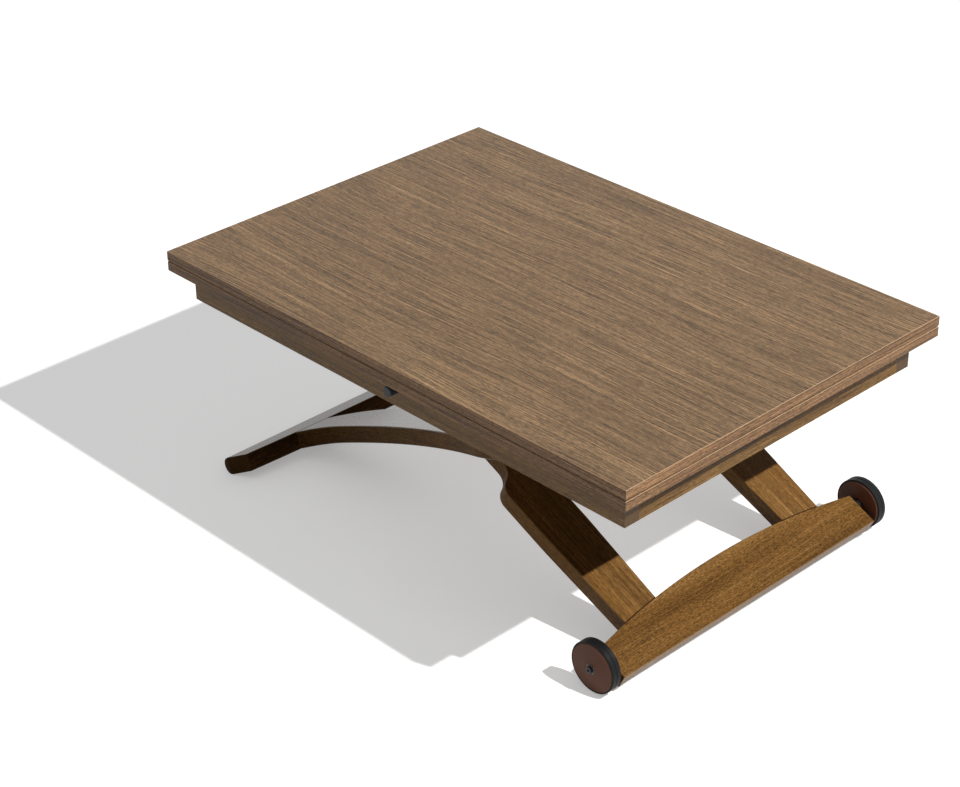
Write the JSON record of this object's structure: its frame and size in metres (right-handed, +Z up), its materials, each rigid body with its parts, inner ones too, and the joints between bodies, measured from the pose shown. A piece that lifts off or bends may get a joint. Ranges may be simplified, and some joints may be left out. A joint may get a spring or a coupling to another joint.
{
  "type": "convertible coffee and dining table",
  "caption": "Coffee table on a wheeled scissor frame that lifts to dining height, with stacked leaves that swivel and unfold to double the top.",
  "frame": {"origin": "on the floor under the middle of the closed top", "axes": "+X towards the wheel end along the top's length, +Y towards the hinged long side, +Z up"},
  "size_m": [1.1, 0.7629, 0.436],
  "materials": {
    "walnut_leaf": "satin lacquered walnut veneer",
    "apron_walnut": "satin walnut",
    "frame_walnut": "satin oiled solid wood",
    "plain_wood": "raw planed wood",
    "steel": "plain turned steel",
    "brass": "brushed brass",
    "dark_metal": "black oxide",
    "grey_plastic": "matt dark grey",
    "brown_plastic": "satin brown",
    "black_rubber": "matt black rubber",
    "white_nylon": "natural nylon",
    "felt": "pressed felt"
  },
  "bodies": {
    "axle": {"wheel_axle": "steel", "axle_washers": "dark_metal", "axle_bolts": "dark_metal"},
    "wheel_near": {"wheel_disc_near": "brown_plastic", "tyre_near": "black_rubber", "wheel_bush_near": "white_nylon"},
    "wheel_far": {"wheel_disc_far": "brown_plastic", "tyre_far": "black_rubber", "wheel_bush_far": "white_nylon"},
    "wheel_frame": {"wheel_bar": "frame_walnut", "wheel_leg_near": "frame_walnut", "wheel_leg_far": "frame_walnut", "wheel_leg_dowels": "plain_wood", "axle_spacers": "steel", "crossing_pins": "dark_metal", "crossing_washers": "dark_metal", "lock_disc": "steel", "lock_disc_screws": "steel"},
    "foot_frame": {"foot_bar": "frame_walnut", "foot_leg_near": "frame_walnut", "foot_leg_far": "frame_walnut", "foot_leg_dowels": "plain_wood", "crossing_nuts": "dark_metal", "roller_shaft": "steel", "track_rollers": "white_nylon", "roller_collars": "steel"},
    "table_frame": {"near_long_rail": "apron_walnut", "far_long_rail": "apron_walnut", "wheel_end_rail": "apron_walnut", "foot_end_rail": "apron_walnut", "corner_blocks": "plain_wood", "swivel_board": "plain_wood", "lift_shaft": "steel", "shaft_flanges": "steel", "shaft_collars": "steel", "track_near": "steel", "track_far": "steel", "top_glides": "white_nylon", "release_spring": "steel"},
    "release": {"release_knob": "grey_plastic", "release_rod": "steel", "release_link": "steel", "lock_pin": "steel"},
    "lower_leaf": {"lower_leaf": "walnut_leaf", "hinge_plates_lower": "brass", "hinge_pins": "steel", "leaf_pads": "felt", "swivel_plate": "steel", "swivel_stop_pin": "steel", "swivel_washer": "steel", "swivel_nut": "steel"},
    "upper_leaf": {"upper_leaf": "walnut_leaf", "hinge_plates_upper": "brass"}
  },
  "joints": [
    {"name": "lift", "type": "hinge", "parent": "axle", "child": "wheel_frame", "pos_m": [0.456, 0, 0.046], "axis": [0, 1, 0], "range_deg": [0, 35]},
    {"name": "scissor", "type": "hinge", "parent": "wheel_frame", "child": "foot_frame", "pos_m": [0.043, 0, 0.24032], "axis": [0, 1, 0], "range_deg": [-61.78, 0]},
    {"name": "top_level", "type": "hinge", "parent": "wheel_frame", "child": "table_frame", "pos_m": [-0.18422, 0, 0.3556], "axis": [0, 1, 0], "range_deg": [-35, 0]},
    {"name": "top_swivel", "type": "hinge", "parent": "table_frame", "child": "lower_leaf", "pos_m": [0.19, 0.19, 0.3976], "axis": [0, 0, 1], "range_deg": [0, 90]},
    {"name": "leaf_fold", "type": "hinge", "parent": "lower_leaf", "child": "upper_leaf", "pos_m": [0, 0.3803, 0.4168], "axis": [-1, 0, 0], "range_deg": [0, 180]},
    {"name": "release_pull", "type": "slide", "parent": "table_frame", "child": "release", "axis": [0, -1, 0], "range_m": [0, 0.012], "stiffness_N_per_m": 600},
    {"name": "wheel_near_spin", "type": "hinge", "parent": "axle", "child": "wheel_near", "pos_m": [0.456, -0.3365, 0.046], "axis": [0, 1, 0], "continuous": true},
    {"name": "wheel_far_spin", "type": "hinge", "parent": "axle", "child": "wheel_far", "pos_m": [0.456, 0.3365, 0.046], "axis": [0, 1, 0], "continuous": true}
  ],
  "couplings": [
    {"joint": "scissor", "follows": "lift", "ratio": -1.7652},
    {"joint": "top_level", "follows": "lift", "ratio": -1}
  ]
}
